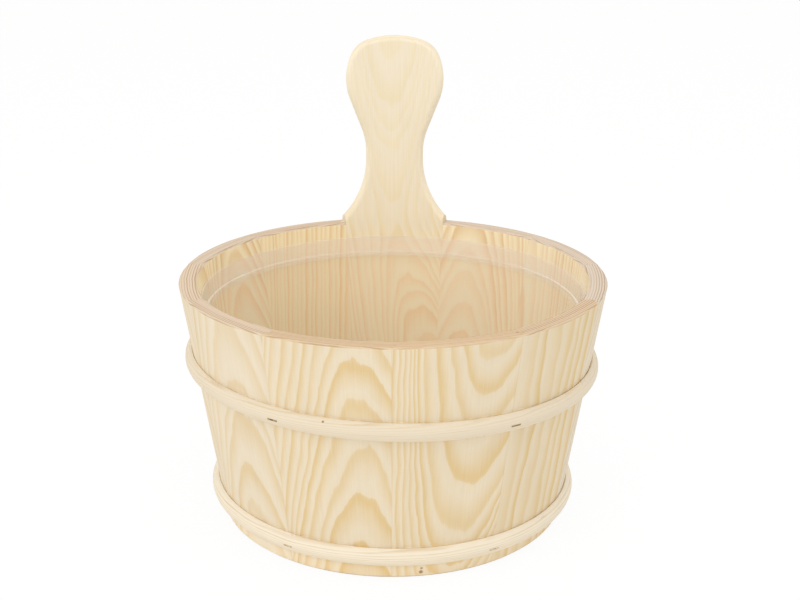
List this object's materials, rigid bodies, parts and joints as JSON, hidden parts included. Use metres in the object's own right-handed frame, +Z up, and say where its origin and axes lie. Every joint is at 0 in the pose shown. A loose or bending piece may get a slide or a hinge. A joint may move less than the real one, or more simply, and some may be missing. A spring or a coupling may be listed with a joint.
{
  "type": "wooden piggin",
  "caption": "Small coopered pine bucket whose back stave carries on up as a paddle-shaped handle, bound by half-round wooden hoops, with a loose clear plastic liner.",
  "frame": {"origin": "centre of the foot, on the bucket's axis, level with the stave ends", "axes": "+Z up along the bucket's axis, +Y towards the handle at the back, +X to the right when the bucket is seen from the front"},
  "size_m": [0.2446, 0.2626, 0.2588],
  "materials": {
    "stave_wood": "bare planed pine, yellow late-wood grain on cream early wood",
    "handle_wood": "bare sanded pine, rounded edges",
    "bottom_wood": "bare planed pine boards",
    "hoop_wood": "bare bent pine strip, fine straight grain along its run",
    "staple_wire": "dark flattened wire",
    "liner_plastic": "clear plastic with a faint warm tint"
  },
  "bodies": {
    "bucket": {"handle_stave": "handle_wood", "stave_01": "stave_wood", "stave_02": "stave_wood", "stave_03": "stave_wood", "stave_04": "stave_wood", "stave_05": "stave_wood", "stave_06": "stave_wood", "stave_07": "stave_wood", "stave_08": "stave_wood", "stave_09": "stave_wood", "stave_10": "stave_wood", "bottom_board_left": "bottom_wood", "bottom_board_middle": "bottom_wood", "bottom_board_right": "bottom_wood", "upper_hoop": "hoop_wood", "lower_hoop": "hoop_wood", "upper_hoop_staples": "staple_wire", "lower_hoop_staples": "staple_wire"},
    "liner": {"liner": "liner_plastic"}
  },
  "joints": [
    {"name": "liner_lift", "type": "slide", "parent": "bucket", "child": "liner", "axis": [0, 0, 1], "range_m": [0, 0.25]}
  ]
}
